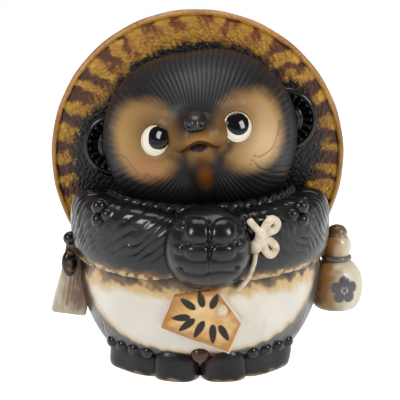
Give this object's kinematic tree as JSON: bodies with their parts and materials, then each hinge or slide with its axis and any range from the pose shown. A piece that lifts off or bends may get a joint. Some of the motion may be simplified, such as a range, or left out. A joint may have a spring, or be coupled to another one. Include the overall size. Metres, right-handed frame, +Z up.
{
  "type": "tanuki ornament",
  "caption": "Seated glazed-ceramic tanuki ornament with clasped paws, a straw hat slung behind its head, a leaning plaque, a flask and a passbook.",
  "frame": {"origin": "on the table, under the middle of the foot", "axes": "+Z up, the figure looks along -Y, its own left is +X"},
  "size_m": [0.225, 0.1933, 0.24],
  "materials": {
    "black_glaze": "gloss",
    "fur_glaze": "satin",
    "nose_glaze": "satin",
    "pupil_glaze": "gloss",
    "eye_glaze": "gloss",
    "mask_glaze": "satin",
    "belly_glaze": "satin",
    "straw_glaze": "satin",
    "plaque_glaze": "satin",
    "bisque_white": "matte",
    "flask_glaze": "gloss",
    "band_glaze": "satin",
    "book_glaze": "satin"
  },
  "bodies": {
    "root": {"left_arm": "black_glaze", "right_arm": "black_glaze", "left_paw": "black_glaze", "right_paw": "black_glaze", "paw_claws": "black_glaze", "hat_cord": "black_glaze", "left_cord_knot": "black_glaze", "right_cord_knot": "black_glaze", "left_foot": "black_glaze", "right_foot": "black_glaze", "left_toes": "black_glaze", "right_toes": "black_glaze", "left_pouch_lobe": "black_glaze", "right_pouch_lobe": "black_glaze", "pouch_knot": "black_glaze", "tail": "black_glaze", "passbook_toggle": "black_glaze", "passbook_knot": "black_glaze", "left_ear_tuft": "black_glaze", "right_ear_tuft": "black_glaze", "left_ear": "black_glaze", "right_ear": "black_glaze", "head_shell": "fur_glaze", "chin": "fur_glaze", "nose": "nose_glaze", "left_pupil": "pupil_glaze", "right_pupil": "pupil_glaze", "left_eye": "eye_glaze", "right_eye": "eye_glaze", "muzzle": "mask_glaze", "body_shell": "belly_glaze", "hat_brim": "straw_glaze", "hat_crown": "straw_glaze", "plaque": "plaque_glaze", "plaque_knot": "bisque_white", "plaque_string": "bisque_white", "bow_knot": "bisque_white", "bow_upper_loop": "bisque_white", "bow_lower_loop": "bisque_white", "bow_end": "bisque_white", "flask_body": "flask_glaze", "flask_neck": "flask_glaze", "flask_stopper": "flask_glaze", "flask_band": "band_glaze", "passbook": "book_glaze"}
  },
  "joints": []
}
